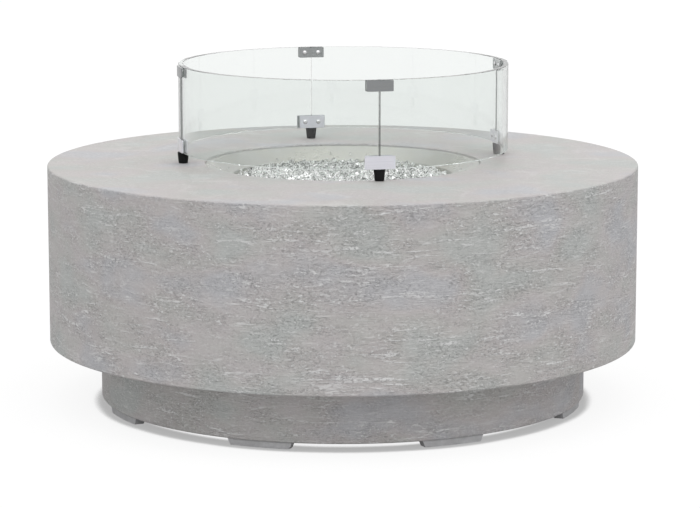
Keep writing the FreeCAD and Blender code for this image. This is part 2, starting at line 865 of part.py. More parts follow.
def make_valve_stem():
    collar_low, collar_top = collar_levels()
    round_end = collar_low - stem_end_step
    rod = cylinder(stem_radius, round_end, stem_top())
    side = stem_radius + overrun
    flat_cut = block(stem_flat, side, -side, side, knob_lift + stem_flat_start, stem_top() + overrun)
    shoulder_low = collar_top + seat_gap
    shoulder = cylinder(stem_shoulder_radius, shoulder_low, shoulder_low + stem_shoulder_height)
    tongue = block(-tongue_breadth / 2, tongue_breadth / 2, -tongue_width / 2, tongue_width / 2,
                   stem_tongue_end(), round_end)
    return on_tray(rod.cut(flat_cut).fuse([shoulder, tongue]), knob_offset)


def make_stem_collar():
    low, top = collar_levels()
    collar = drilled(cylinder(valve_plug_radius, low, top), stem_radius + running_clearance, low, top)
    return on_tray(collar, knob_offset)


def make_control_knob():
    low = knob_lift
    skirt_top = low + knob_skirt_height
    top = low + knob_height
    skirt = turned([
        (0, low, 0),
        (knob_radius, low, knob_edge_radius),
        (knob_radius, skirt_top, knob_shoulder_radius),
        (0, skirt_top, 0),
    ])
    half = knob_grip_width / 2
    grip = rounded_slab(half, knob_radius, skirt_top, top, knob_grip_corner)
    grip = grip.common(cylinder(knob_radius - knob_grip_step, low, top))
    knob = skirt.fuse(grip)
    half = knob_pointer_width / 2
    pointer = block(-half, half, -knob_radius, -knob_pointer_start, top - knob_pointer_depth, top + overrun)
    bore = cylinder(stem_radius + running_clearance, low - overrun, stem_top() + seat_gap)
    side = stem_radius + overrun
    bore = bore.cut(block(stem_flat + running_clearance, side, -side, side,
                          low + stem_flat_start, stem_top() + overrun))
    return on_tray(knob.cut(pointer.fuse(bore)), knob_offset)


def make_knob_bezel():
    ring = turned([
        (bezel_radius - bezel_width, 0, 0),
        (bezel_radius, 0, 0),
        (bezel_radius, bezel_height, bezel_edge_radius),
        (bezel_radius - bezel_width, bezel_height, bezel_edge_radius),
    ])
    return on_tray(ring, knob_offset)


def make_valve_screws():
    screw = domed_screw(valve_screw_radius, valve_screw_length,
                        valve_screw_head_radius, valve_screw_head_height)
    return on_tray(group([placed(screw, 0, x) for x in valve_screw_places()]), knob_offset)


def make_igniter_barrel():
    back = -igniter_length
    barrel = cylinder(igniter_radius, back, 0)
    flange = turned([
        (0, 0, 0),
        (igniter_flange_radius, 0, 0),
        (igniter_flange_radius, igniter_flange_height, igniter_edge_radius),
        (0, igniter_flange_height, 0),
    ])
    chamber = cylinder(button_radius + button_play, -igniter_chamber_depth, igniter_flange_height + overrun)
    cell = cylinder(battery_radius + battery_play, -igniter_chamber_depth - battery_play - battery_length,
                    -igniter_chamber_depth + overrun)
    return on_tray(barrel.fuse(flange).cut(chamber.fuse(cell)), igniter_offset)


def make_igniter_nut():
    top = -tray_sheet
    nut = hexagon(igniter_nut_across, top - igniter_nut_height, top)
    nut = drilled(nut, igniter_radius + running_clearance, top - igniter_nut_height, top)
    return on_tray(nut, igniter_offset)


def make_igniter_battery():
    top = -igniter_chamber_depth - battery_play
    return on_tray(cylinder(battery_radius, top - battery_length, top), igniter_offset)


def make_igniter_button():
    button = turned([
        (0, -button_root, 0),
        (button_radius, -button_root, 0),
        (button_radius, button_rise, button_edge_radius),
        (0, button_rise, 0),
    ])
    return on_tray(button, igniter_offset)


# Gas inlet, hoses and leads

def inlet_faces():
    """Flat landings for the inlet inside and outside the plinth's wall, as distances along Y."""
    inner_reach = abs(inlet_offset) - inlet_landing_radius
    inner = math.sqrt(plinth_inner_radius ** 2 - max(inner_reach, 0) ** 2) + landing_recess
    outer_reach = abs(inlet_offset) + inlet_landing_radius
    outer = math.sqrt(plinth_radius ** 2 - outer_reach ** 2) - landing_recess
    return inner, outer


def inlet_inner_end():
    return inlet_faces()[0] - inlet_nut_height - port_length


def make_inlet_fitting():
    inner_face, seat = inlet_faces()
    end = seat + inlet_hex_height + inlet_thread_length
    body = rod_along_y(inlet_body_radius, inner_face - inlet_nut_height, seat)
    port = rod_along_y(port_radius, inlet_inner_end(), seat)
    thread = rod_along_y(inlet_thread_radius, seat, end)
    hex_head = facing(hexagon(inlet_hex_across, 0, inlet_hex_height), vec(0, 1, 0))
    hex_head.translate(vec(0, seat, 0))
    bore = rod_along_y(port_bore_radius, inlet_inner_end() - overrun, end + overrun)
    fitting = body.fuse([port, thread, hex_head]).cut(bore)
    return placed(fitting, 0, inlet_offset, 0, inlet_height)


def make_inlet_locknut():
    nut = hexagon(inlet_hex_across, 0, inlet_nut_height)
    nut = drilled(nut, inlet_body_radius + running_clearance, 0, inlet_nut_height)
    nut = facing(nut, vec(0, -1, 0))
    return placed(nut, 0, inlet_offset, inlet_faces()[0], inlet_height)


def valve_inlet_point():
    front, bore_end, back, plug_back, plug_front = valve_levels()
    return vec(knob_offset, tray_floor + back - port_length, control_height)


def valve_outlet_point():
    return vec(knob_offset, tray_floor - valve_port_setback, control_height + valve_size / 2 + port_length)


def flex_line_points():
    start = vec(0, elbow_reach, elbow_axis)
    end = valve_outlet_point()
    return [
        start,
        start.add(vec(0, 60, 0)),
        end.add(vec(10, -170, 32)),
        end.add(vec(0, -75, 60)),
        end.add(vec(0, 0, 60)),
        end,
    ]


def supply_hose_points():
    start = vec(inlet_offset, inlet_inner_end(), inlet_height)
    end = valve_inlet_point()
    return [
        start,
        start.add(vec(0, -40, 0)),
        start.add(vec(0, -67, 28)),
        start.add(vec(0, -75, 74)),
        end.add(vec(0, -102, -86)),
        end.add(vec(0, -86, -42)),
        end.add(vec(0, -52, -8)),
        end.add(vec(0, -26, 0)),
        end,
    ]


def igniter_wire_points():
    start = vec(pilot_x + probe_spacing, pilot_y, pan_floor - electrode_drop)
    end = vec(igniter_offset, tray_floor - igniter_length, control_height)
    return [
        start,
        start.add(vec(0, 0, -28)),
        start.add(vec(-2, 30, -54)),
        start.add(vec(-6, 82, -68)),
        start.add(vec(-12, 140, -76)),
        end.add(vec(12, -136, -8)),
        end.add(vec(6, -82, -4)),
        end.add(vec(0, -34, 0)),
        end,
    ]


def sensor_lead_points():
    back = valve_levels()[2]
    start = vec(pilot_x - probe_spacing, pilot_y, pan_floor - sensor_drop)
    end = vec(knob_offset + sensor_port_shift, tray_floor + back - sensor_port_length,
              control_height + sensor_port_shift)
    return [
        start,
        start.add(vec(0, 0, -26)),
        start.add(vec(-3, 28, -48)),
        start.add(vec(-10, 80, -62)),
        start.add(vec(-22, 138, -66)),
        end.add(vec(38, -146, -12)),
        end.add(vec(18, -88, -8)),
        end.add(vec(0, -38, 0)),
        end,
    ]


def hose_nut(hose_radius):
    """Union nut along +Z, half over the port below z = 0 and half over the hose above it."""
    nut = hexagon(hose_nut_across, -hose_nut_on_port, hose_nut_on_hose)
    nut = nut.cut(cylinder(port_radius + running_clearance, -hose_nut_on_port - overrun, 0))
    return nut.cut(cylinder(hose_radius + seat_gap, -overrun, hose_nut_on_hose + overrun))


def make_hose_nuts():
    lines = [(flex_line_points(), flex_line_radius), (supply_hose_points(), supply_hose_radius)]
    nuts = []
    for points, radius in lines:
        for end, neighbour in ((points[0], points[1]), (points[-1], points[-2])):
            nut = facing(hose_nut(radius), neighbour.sub(end))
            nut.translate(end)
            nuts.append(nut)
    return group(nuts)


# Glass wind guard; a clip is made on +X with the radial direction along X

def joint_angle(index):
    return guard_turn + 90 * index


def on_guard(shape, index):
    """Copy of a clip's piece carried to one of the guard's four joints."""
    return placed(around(shape, joint_angle(index)), 0, guard_side_shift, guard_back_shift)


def curved_plate(inner, outer, width, z0, z1, bend):
    """Plate of a round wall, with rounded corners."""
    wall = cylinder(outer, z0, z1).cut(cylinder(inner, z0, z1))
    half = width / 2
    corners = [(-half, z0), (half, z0), (half, z1), (-half, z1)]
    wire = rounded_outline([(vec(inner - width, y, z), bend) for y, z in corners])
    window = Part.Face(wire).extrude(vec(2 * width, 0, 0))
    return wall.common(window)


def clip_levels(upper):
    """Bottom, top and screw height of a clip's plates."""
    if upper:
        top = glass_top - clip_rim_drop
        return top - upper_clip_height, top, top - upper_clip_height / 2
    low = glass_bottom + lower_clip_rise
    return low, low + lower_clip_height, low + lower_clip_height / 2


def clip_width(upper):
    return upper_clip_width if upper else lower_clip_width


def backing_width(upper):
    return upper_clip_width if upper else lower_backing_width


def outer_plate_radii():
    inner = guard_radius + clip_pad + 2 * seat_gap
    return inner, inner + clip_sheet


def backing_plate_radii():
    outer = glass_inner_radius - clip_pad - 2 * seat_gap
    return outer - clip_sheet, outer


def screw_offsets():
    return (-clip_screw_spacing / 2, clip_screw_spacing / 2)


def make_panel(index):
    sweep_gap = math.degrees(panel_gap / glass_mid_radius)
    bevel = glass_edge_bevel
    low, high = glass_bottom, glass_top
    inner, outer = glass_inner_radius, guard_radius
    points = [vec(inner + bevel, 0, low), vec(outer - bevel, 0, low), vec(outer, 0, low + bevel),
              vec(outer, 0, high - bevel), vec(outer - bevel, 0, high), vec(inner + bevel, 0, high),
              vec(inner, 0, high - bevel), vec(inner, 0, low + bevel)]
    face = Part.Face(Part.makePolygon(points + points[:1]))
    panel = face.revolve(ORIGIN, UP, 90 - sweep_gap)
    panel = around(panel, joint_angle(index) + sweep_gap / 2)
    for joint in (index, index + 1):
        for upper in (True, False):
            height = clip_levels(upper)[2]
            for offset in screw_offsets():
                hole = rod_along_x(glass_hole_radius, inner - glass_thickness, outer + glass_thickness,
                                   offset, height)
                panel = panel.cut(around(hole, joint_angle(joint)))
    return placed(panel, 0, guard_side_shift, guard_back_shift)


def make_outer_plate(upper):
    """Plain outer plate with two threaded bosses that reach back through the glass."""
    low, top, height = clip_levels(upper)
    inner, outer = outer_plate_radii()
    plate = curved_plate(inner, outer, clip_width(upper), low, top, clip_corner_radius)
    boss_start = glass_inner_radius + boss_setback
    for offset in screw_offsets():
        plate = plate.fuse(rod_along_x(boss_radius, boss_start, inner + clip_sheet / 2, offset, height))
    for offset in screw_offsets():
        plate = plate.cut(rod_along_x(clip_screw_radius + running_clearance, glass_inner_radius,
                                      inner - boss_end_wall, offset, height))
    return plate


def tang_block(play):
    """Tang that passes from an outer plate between two panels and down into the rubber foot."""
    half = panel_gap / 2 - spacer_play + play
    return block(glass_inner_radius + tang_setback - play, outer_plate_radii()[0] + clip_sheet / 2 + play,
                 -half, half, glass_bottom - tang_grip - play, glass_bottom + tang_rise + play)


def make_lower_plate():
    return make_outer_plate(False).fuse(tang_block(0)).removeSplitter()


def make_backing_plate(upper):
    low, top, height = clip_levels(upper)
    inner, outer = backing_plate_radii()
    plate = curved_plate(inner, outer, backing_width(upper), low, top, clip_corner_radius)
    for offset in screw_offsets():
        plate = plate.cut(rod_along_x(clip_screw_radius + screw_hole_play, inner - glass_thickness,
                                      outer + overrun, offset, height))
    return plate


def make_clip_screws(upper):
    height = clip_levels(upper)[2]
    inner = backing_plate_radii()[0]
    tip = outer_plate_radii()[0] - boss_end_wall - screw_tip_gap
    head_seat = math.sqrt(inner ** 2 - (clip_screw_spacing / 2 + clip_screw_head_radius) ** 2)
    screw = domed_screw(clip_screw_radius, tip - head_seat, clip_screw_head_radius, clip_screw_head_height)
    screw = cross_recessed(screw, clip_screw_head_height,
                           clip_recess_width, clip_recess_length, clip_recess_depth)
    screw = facing(screw, vec(-1, 0, 0))
    return [placed(screw, 0, head_seat, offset, height) for offset in screw_offsets()]


def make_clip_pads(upper):
    low, top, height = clip_levels(upper)
    pad_low = low + clip_pad_inset
    pad_top = top - clip_pad_inset
    pads = []
    for inner, plate_width in ((guard_radius + seat_gap, clip_width(upper)),
                               (glass_inner_radius - seat_gap - clip_pad, backing_width(upper))):
        pad = curved_plate(inner, inner + clip_pad, plate_width - 2 * clip_pad_inset, pad_low, pad_top,
                           clip_corner_radius)
        for offset in screw_offsets():
            pad = pad.cut(rod_along_x(glass_hole_radius, inner - glass_thickness, inner + glass_thickness,
                                      offset, height))
        if not upper:
            pad = pad.cut(tang_block(running_clearance))
        pads.append(pad)
    return pads


def make_clip_spacer(upper):
    low, top, height = clip_levels(upper)
    low = low + clip_pad_inset if upper else glass_bottom + tang_rise
    top = glass_top if upper else top - clip_pad_inset
    half = panel_gap / 2 - spacer_play
    return block(glass_inner_radius + seat_gap, guard_radius - seat_gap, -half, half, low, top)


def make_guard_foot():
    foot = turned([
        (0, table_top, 0),
        (foot_radius_bottom, table_top, foot_edge_radius),
        (foot_radius_top, glass_bottom, foot_top_edge),
        (0, glass_bottom, 0),
    ])
    return placed(foot, 0, glass_mid_radius).cut(tang_block(running_clearance))


def build_nodes():
    nodes = {
        "drum_shell": make_drum_shell(),
        "plinth_ring": make_plinth_ring(),
        "foot_pads": make_foot_pads(),
        "joining_brackets": make_joining_brackets(),
        "lip_bolts": make_lip_bolts(),
        "lip_nuts": make_lip_nuts(),
        "wall_bolts": make_wall_bolts(),
        "burner_pan": make_burner_pan(),
        "burner_ring": make_burner_ring(),
        "hub_locknut": make_hub_locknut(),
        "gas_elbow": make_gas_elbow(),
        "fire_glass_bed": make_fire_glass_bed(),
        "pilot_bracket": make_pilot_bracket(),
        "pilot_hood": make_pilot_hood(),
        "spark_electrode": make_spark_electrode(),
        "flame_sensor": make_flame_sensor(),
        "pilot_screws": make_pilot_screws(),
        "control_tray": make_control_tray(),
        "tray_screws": make_tray_screws(),
        "gas_valve": make_gas_valve(),
        "valve_plug": make_valve_plug(),
        "valve_stem": make_valve_stem(),
        "stem_collar": make_stem_collar(),
        "control_knob": make_control_knob(),
        "knob_bezel": make_knob_bezel(),
        "valve_screws": make_valve_screws(),
        "igniter_barrel": make_igniter_barrel(),
        "igniter_nut": make_igniter_nut(),
        "igniter_battery": make_igniter_battery(),
        "igniter_button": make_igniter_button(),
        "inlet_fitting": make_inlet_fitting(),
        "inlet_locknut": make_inlet_locknut(),
        "flex_line": tube_along(flex_line_points(), flex_line_radius, "flex_line"),
        "supply_hose": tube_along(supply_hose_points(), supply_hose_radius, "supply_hose"),
        "igniter_wire": tube_along(igniter_wire_points(), igniter_wire_radius, "igniter_wire"),
        "sensor_lead": tube_along(sensor_lead_points(), sensor_lead_radius, "sensor_lead"),
        "hose_nuts": make_hose_nuts(),
    }
    for index, side in enumerate(["front_right", "back_right", "back_left", "front_left"]):
        nodes["guard_panel_" + side] = make_panel(index)
    joints = ["front", "right", "back", "left"]
    for index, side in enumerate(joints):
        nodes["upper_clip_" + side] = on_guard(make_outer_plate(True), index)
        nodes["lower_clip_" + side] = on_guard(make_lower_plate(), index)
        nodes["guard_foot_" + side] = on_guard(make_guard_foot(), index)
    backing, screws, pads, spacers = [], [], [], []
    for index in range(len(joints)):
        for upper in (True, False):
            backing.append(on_guard(make_backing_plate(upper), index))
            screws.extend(on_guard(screw, index) for screw in make_clip_screws(upper))
            pads.extend(on_guard(pad, index) for pad in make_clip_pads(upper))
            spacers.append(on_guard(make_clip_spacer(upper), index))
    nodes["clip_backing_plates"] = group(backing)
    nodes["clip_screws"] = group(screws)
    nodes["clip_pads"] = group(pads)
    nodes["clip_spacers"] = group(spacers)
    return nodes


os.makedirs("parts", exist_ok=True)
for name, shape in build_nodes().items():
    shape.exportStep("parts/" + name + ".step")
    state = "valid" if shape.isValid() else "NOT VALID"
    print(name, len(shape.Solids), "solids", state, round(shape.Volume, 1))
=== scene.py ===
import json
import math
import random

import bmesh
import bpy
from mathutils import Euler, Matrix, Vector


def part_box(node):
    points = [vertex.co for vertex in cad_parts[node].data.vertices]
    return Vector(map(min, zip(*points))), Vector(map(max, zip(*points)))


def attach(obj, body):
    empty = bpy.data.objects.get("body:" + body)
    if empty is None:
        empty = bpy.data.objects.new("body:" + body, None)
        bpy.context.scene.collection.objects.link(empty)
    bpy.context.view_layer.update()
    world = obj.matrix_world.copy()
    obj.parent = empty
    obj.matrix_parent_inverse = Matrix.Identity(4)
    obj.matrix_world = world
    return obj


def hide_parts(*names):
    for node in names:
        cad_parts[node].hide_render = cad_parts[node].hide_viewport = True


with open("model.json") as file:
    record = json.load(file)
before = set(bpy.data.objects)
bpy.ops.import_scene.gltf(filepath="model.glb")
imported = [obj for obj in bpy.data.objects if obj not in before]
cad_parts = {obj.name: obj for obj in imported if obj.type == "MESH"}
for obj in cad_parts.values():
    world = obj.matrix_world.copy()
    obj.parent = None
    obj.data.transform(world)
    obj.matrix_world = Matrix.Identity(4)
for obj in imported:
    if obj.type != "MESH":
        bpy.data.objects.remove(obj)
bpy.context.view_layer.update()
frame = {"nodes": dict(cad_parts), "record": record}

# Sizes in metres, with Z up and Y away from the camera


def top_of(node):
    """The height of a node's highest point, to a tenth of a millimetre."""
    return round(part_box(node)[1][2], 4)


def guard_middle():
    """The upright axis of the glass guard at rest, from the boxes of its panels."""
    panels = [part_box(node) for node in frame["nodes"] if node.startswith("guard_panel_")]
    middle = [(min(low[i] for low, _ in panels) + max(high[i] for _, high in panels)) / 2 for i in (0, 1)]
    return round(middle[0], 4), round(middle[1], 4), 0.0


TABLE_TOP = top_of("drum_shell")
FLANGE_TOP = top_of("burner_pan")
BED_CROWN = 0.0050
BED_EDGE = round(top_of("fire_glass_bed") - BED_CROWN, 4)
BED_FLOOR = 0.3990
BOWL_RADIUS = 0.1985
SLOPE_RADIUS = 0.2360
# Where the joints' painted shade is left off, at the back.
BACK_JOINT_Y = (0.24, 0.28)
LOWER_EDGE_Z = (0.46, 0.50)
# Heights over which the clips' painted reflection turns from light to dark.
PAINTED_CLIP_DARK_Z = (0.50, 0.56)
FLOOR_REACH = 40.0
# How far the floor's painted contact shadow reaches.
CONTACT_REACH = 0.036


# Camera and lamps

def add_object(name, data):
    obj = bpy.data.objects.new(name, data)
    bpy.context.scene.collection.objects.link(obj)
    return obj


def add_sun(name, strength, spread, tilt_x, tilt_z):
    """A wide, soft lamp; its angles are in degrees."""
    data = bpy.data.lights.new(name, "SUN")
    data.energy = strength
    data.angle = math.radians(spread)
    sun = add_object(name, data)
    sun.location = (0.0, 0.0, 3.0)
    sun.rotation_euler = (math.radians(tilt_x), 0.0, math.radians(tilt_z))


camera_data = bpy.data.cameras.new("photo_camera")
camera_data.lens = 152.34
camera_data.sensor_width = 36.0
camera_data.clip_end = 200.0
camera = add_object("photo_camera", camera_data)
camera.location = (0.0132, -5.325, 1.166)
camera.rotation_euler = (math.radians(80.386), 0.0, 0.0)
bpy.context.scene.camera = camera
bpy.context.scene.view_settings.view_transform = "Standard"

add_sun("overhead_softbox", strength=1.24, spread=100.0, tilt_x=8.0, tilt_z=25.0)
add_sun("front_softbox", strength=0.50, spread=100.0, tilt_x=62.0, tilt_z=18.0)


# Building materials from nodes

def dimmed(colour, factor):
    """The colour times one factor, or times a factor for each channel."""
    factors = factor if isinstance(factor, tuple) else (factor,) * 3
    return tuple(c * f for c, f in zip(colour, factors))


class Shade:
    """A node material that is built up by short calls."""

    def __init__(self, name):
        self.material = bpy.data.materials.new(name)
        self.material.use_nodes = True
        self.tree = self.material.node_tree
        self.tree.nodes.clear()
        self.output = self.add("ShaderNodeOutputMaterial")
        self.place = self.add("ShaderNodeTexCoord").outputs["Object"]

    def add(self, kind, values=None, **settings):
        """A node with its settings, and with a link or a plain value for each socket named in values."""
        node = self.tree.nodes.new(kind)
        for name, value in settings.items():
            setattr(node, name, value)
        for name, value in (values or {}).items():
            if isinstance(value, bpy.types.NodeSocket):
                self.tree.links.new(value, node.inputs[name])
            else:
                node.inputs[name].default_value = value
        return node

    def scaled(self, x, y=None, z=None):
        """The piece's own coordinates times one scale, or times one for each direction."""
        scale = (x, x, x) if z is None else (x, y, z)
        return self.add("ShaderNodeMapping", {"Vector": self.place, "Scale": scale}).outputs["Vector"]

    def noise(self, vector, detail, roughness, distortion=0.0):
        values = {"Vector": vector, "Scale": 1.0, "Detail": detail, "Roughness": roughness,
                  "Distortion": distortion}
        return self.add("ShaderNodeTexNoise", values).outputs["Fac"]

    def cells(self, vector):
        return self.add("ShaderNodeTexVoronoi", {"Vector": vector, "Scale": 1.0}).outputs["Distance"]

    def spread(self, value, low, high, to_low=0.0, to_high=1.0):
        """The value's range from low to high, brought smoothly to the range from to_low to to_high."""
        values = {"Value": value, "From Min": low, "From Max": high, "To Min": to_low, "To Max": to_high}
        return self.add("ShaderNodeMapRange", values, interpolation_type="SMOOTHSTEP").outputs["Result"]

    def calc(self, operation, first, second=0.0):
        return self.add("ShaderNodeMath", {0: first, 1: second}, operation=operation).outputs["Value"]

    def times(self, first, second):
        return self.calc("MULTIPLY", first, second)

    def larger(self, first, second):
        return self.calc("MAXIMUM", first, second)

    def vector_calc(self, operation, first, second=(0.0, 0.0, 0.0)):
        node = self.add("ShaderNodeVectorMath", {0: first, 1: second}, operation=operation)
        return node.outputs["Value" if operation in ("LENGTH", "DOT_PRODUCT") else "Vector"]

    def part(self, vector, axis):
        return self.add("ShaderNodeSeparateXYZ", {"Vector": vector}).outputs[axis]

    def joined(self, x, y, z=0.0):
        return self.add("ShaderNodeCombineXYZ", {"X": x, "Y": y, "Z": z}).outputs["Vector"]

    def ramp(self, value, stops):
        node = self.add("ShaderNodeValToRGB", {"Fac": value})
        elements = node.color_ramp.elements
        while len(elements) < len(stops):
            elements.new(0.5)
        for element, (position, colour) in zip(elements, stops):
            element.position = position
            element.color = (*colour, 1.0)
        return node.outputs["Color"]

    def blend(self, factor, first, second, kind="MIX"):
        """A mix of two colours, each given as a socket or as red, green and blue."""
        first, second = (c if isinstance(c, bpy.types.NodeSocket) else (*c, 1.0) for c in (first, second))
        # Inputs 6 and 7 of the node are its two colours, and output 2 is their mix.
        values = {0: factor, 6: first, 7: second}
        node = self.add("ShaderNodeMix", values, data_type="RGBA", blend_type=kind, clamp_factor=True)
        return node.outputs[2]

    def tinted(self, colour, by, factor=1.0):
        return self.blend(factor, colour, by, "MULTIPLY")

    def bump(self, height, distance, strength=1.0):
        values = {"Height": height, "Distance": distance, "Strength": strength}
        return self.add("ShaderNodeBump", values).outputs["Normal"]

    def principled(self, **values):
        sockets = {name.replace("_", " "): value for name, value in values.items()}
        return self.add("ShaderNodeBsdfPrincipled", sockets)

    def mixed(self, factor, first, second):
        return self.add("ShaderNodeMixShader", {"Fac": factor, 1: first.outputs[0], 2: second.outputs[0]})

    def finish(self, shader):
        self.tree.links.new(shader.outputs[0], self.output.inputs["Surface"])
        return self.material

    def surface(self, **values):
        return self.finish(self.principled(**values))


# Cast stone

def stone_body(shade, level):
    """The casting's own colour: slow changes of hue, and clouds of a slightly darker tone."""
    grey = (level, level, level)
    hues = (
        (0.34, (0.975, 1.005, 0.985)),
        (0.44, (1.015, 0.995, 0.970)),
        (0.54, (1.040, 0.985, 0.985)),
        (0.66, (0.990, 0.992, 1.035)),
    )
    slow = shade.noise(shade.scaled(7.0, 7.0, 11.0), 2.0, 0.5)
    tint = shade.ramp(slow, [(position, dimmed(grey, factors)) for position, factors in hues])
    broad = shade.spread(shade.noise(shade.scaled(2.3, 2.3, 3.5), 2.0, 0.5), 0.35, 0.65)
    tint = shade.tinted(tint, (0.980, 0.972, 0.966), broad)
    cloud = shade.spread(shade.noise(shade.scaled(16.0, 16.0, 44.0), 4.0, 0.6), 0.30, 0.70, 0.0, 0.45)
    return shade.tinted(tint, (0.90, 0.90, 0.90), cloud)


def stone_marks(shade, upright):
    """Pale and dark marks, each from 0 to 1: level flecks and pits, broken wavy lines and streaks; the dark
    pits and grooves are painted shade.
    """
    bands = shade.spread(shade.noise(shade.scaled(9.0, 9.0, 30.0), 3.0, 0.6), 0.36, 0.58, 0.45, 1.0)
    where = shade.times(bands, upright)
    patches = shade.spread(shade.noise(shade.scaled(16.0, 16.0, 26.0), 2.0, 0.5), 0.36, 0.56, 0.45, 1.0)
    patches = shade.times(patches, where)
    flecks = shade.noise(shade.scaled(170.0, 170.0, 350.0), 3.0, 0.62, 0.5)
    fleck = shade.times(shade.spread(flecks, 0.54, 0.62), patches)
    # Painted shade: pits, which the bump also sinks, darken the colour.
    pit = shade.times(shade.spread(flecks, 0.44, 0.34), patches)
    wave = shade.noise(shade.scaled(5.0, 5.0, 62.0), 2.0, 0.5, 0.2)
    wave = shade.calc("ABSOLUTE", shade.calc("SUBTRACT", wave, 0.5))
    broken = shade.spread(shade.noise(shade.scaled(14.0, 14.0, 120.0), 2.0, 0.5), 0.46, 0.54)
    line = shade.times(shade.times(shade.spread(wave, 0.026, 0.008), broken), where)
    line = shade.times(line, shade.spread(flecks, 0.38, 0.52, 0.25, 1.0))
    streaks = shade.noise(shade.scaled(40.0, 40.0, 290.0), 2.0, 0.55, 0.6)
    streak = shade.times(shade.spread(streaks, 0.57, 0.68), where)
    # Painted shade: grooves, which the bump also sinks, darken the colour.
    groove = shade.times(shade.spread(streaks, 0.42, 0.32), where)
    pale = shade.larger(shade.times(streak, 0.45), shade.larger(fleck, line))
    dark = shade.larger(shade.times(groove, 0.5), pit)
    return pale, dark


def cast_stone(name, level, relief):
    """Cast stone: nearly smooth on flat faces, and strongly marked on upright ones; flat faces get a painted
    shade.
    """
    shade = Shade(name)
    steepness = shade.part(shade.add("ShaderNodeNewGeometry").outputs["Normal"], "Z")
    flat = shade.spread(shade.calc("ABSOLUTE", steepness), 0.40, 0.90)
    pale, dark = stone_marks(shade, shade.spread(flat, 0.0, 1.0, 1.0, 0.30))
    grain = shade.noise(shade.scaled(330.0, 330.0, 520.0), 3.0, 0.7)
    high, deep = (level * 1.50,) * 3, (level * 0.58,) * 3
    colour = shade.blend(shade.times(pale, 0.85), stone_body(shade, level), high)
    # The dark marks' painted shade.
    colour = shade.blend(shade.times(dark, 0.42), colour, deep)
    colour = shade.blend(shade.spread(grain, 0.35, 0.75, 0.0, 0.14), colour, deep)
    # Painted shade: flat faces get a darker colour to offset the stronger light that falls on them.
    colour = shade.tinted(colour, (0.915, 0.915, 0.910), flat)
    body = shade.calc("SUBTRACT", shade.times(pale, 0.75), shade.times(dark, 0.80))
    fine = shade.times(grain, shade.spread(flat, 0.0, 1.0, 0.40, 0.10))
    normal = shade.bump(shade.calc("ADD", body, fine), relief)
    rough = shade.spread(grain, 0.3, 0.7, 0.50, 0.64)
    return shade.surface(Base_Color=colour, Roughness=rough, Normal=normal, Specular_IOR_Level=0.40)


# Metals

def brushed(name, colour, roughness, along=(12.0, 12.0, 900.0), relief=0.00004):
    """Metal with fine lines, which run along the directions of the smaller scales."""
    shade = Shade(name)
    lines = shade.noise(shade.scaled(*along), 4.0, 0.65)
    blotch = shade.noise(shade.scaled(30.0), 2.0, 0.5)
    tint = shade.ramp(lines, [(0.30, dimmed(colour, 0.82)), (0.70, colour)])
    tint = shade.blend(shade.spread(blotch, 0.35, 0.70, 0.0, 0.35), tint, dimmed(colour, 0.9))
    rough = shade.spread(lines, 0.25, 0.75, roughness * 0.8, roughness * 1.25)
    normal = shade.bump(lines, relief)
    return shade.surface(Base_Color=tint, Roughness=rough, Normal=normal, Metallic=1.0)


def clip_painted_reflections(name, low, high, roughness):
    """Brushed plates under a clear coat, with painted reflections: the upper clips painted a dark colour and
    the lower ones a light one.
    """
    shade = Shade(name)
    lines = shade.noise(shade.scaled(14.0, 14.0, 1000.0), 4.0, 0.65)
    # Painted reflection: by height alone, the colour turns from the light lower one to the dark upper one.
    tint = shade.blend(shade.spread(shade.part(shade.place, "Z"), *PAINTED_CLIP_DARK_Z), low, high)
    tint = shade.tinted(tint, (0.72, 0.72, 0.72), shade.spread(lines, 0.3, 0.7, 0.0, 0.35))
    rough = shade.spread(lines, 0.25, 0.75, roughness * 0.8, roughness * 1.25)
    normal = shade.bump(lines, 0.00004)
    return shade.surface(Base_Color=tint, Roughness=rough, Normal=normal, Metallic=1.0, Coat_Weight=1.0,
                         Coat_Roughness=0.15)


def spun(name, colour, roughness):
    """Steel with fine turning marks that run round the middle of the table, and beige blotches, partly
    stains and partly painted reflections.
    """
    shade = Shade(name)
    x, y, z = (shade.part(shade.place, axis) for axis in "XYZ")
    radius = shade.vector_calc("LENGTH", shade.joined(x, y))
    marks = shade.joined(shade.times(radius, 1500.0), shade.times(z, 1500.0), shade.times(x, 6.0))
    lines = shade.noise(marks, 3.0, 0.6)
    stain_and_painted_reflection = shade.noise(shade.scaled(9.0, 9.0, 14.0), 4.0, 0.6)
    # Beige blotches: partly stains, partly painted reflections of the surroundings.
    tint = shade.ramp(stain_and_painted_reflection, [(0.34, dimmed(colour, (0.93, 0.92, 0.86))), (0.60, colour)])
    tint = shade.blend(shade.spread(lines, 0.3, 0.7, 0.0, 0.25), tint, dimmed(colour, 0.85))
    rough = shade.spread(stain_and_painted_reflection, 0.3, 0.7, roughness * 0.8, roughness * 1.3)
    normal = shade.bump(lines, 0.00005)
    return shade.surface(Base_Color=tint, Roughness=rough, Normal=normal, Metallic=0.62)


def plated(name, colour, roughness):
    """Plated or cast metal with a faint crystal mottling."""
    shade = Shade(name)
    spangle = shade.cells(shade.scaled(260.0))
    haze = shade.noise(shade.scaled(45.0), 4.0, 0.6)
    tint = shade.ramp(spangle, [(0.10, dimmed(colour, 0.85)), (0.75, colour)])
    tint = shade.blend(shade.spread(haze, 0.35, 0.7, 0.0, 0.4), tint, dimmed(colour, 0.78))
    rough = shade.spread(haze, 0.3, 0.7, roughness * 0.8, roughness * 1.3)
    normal = shade.bump(haze, 0.00008)
    return shade.surface(Base_Color=tint, Roughness=rough, Normal=normal, Metallic=1.0)


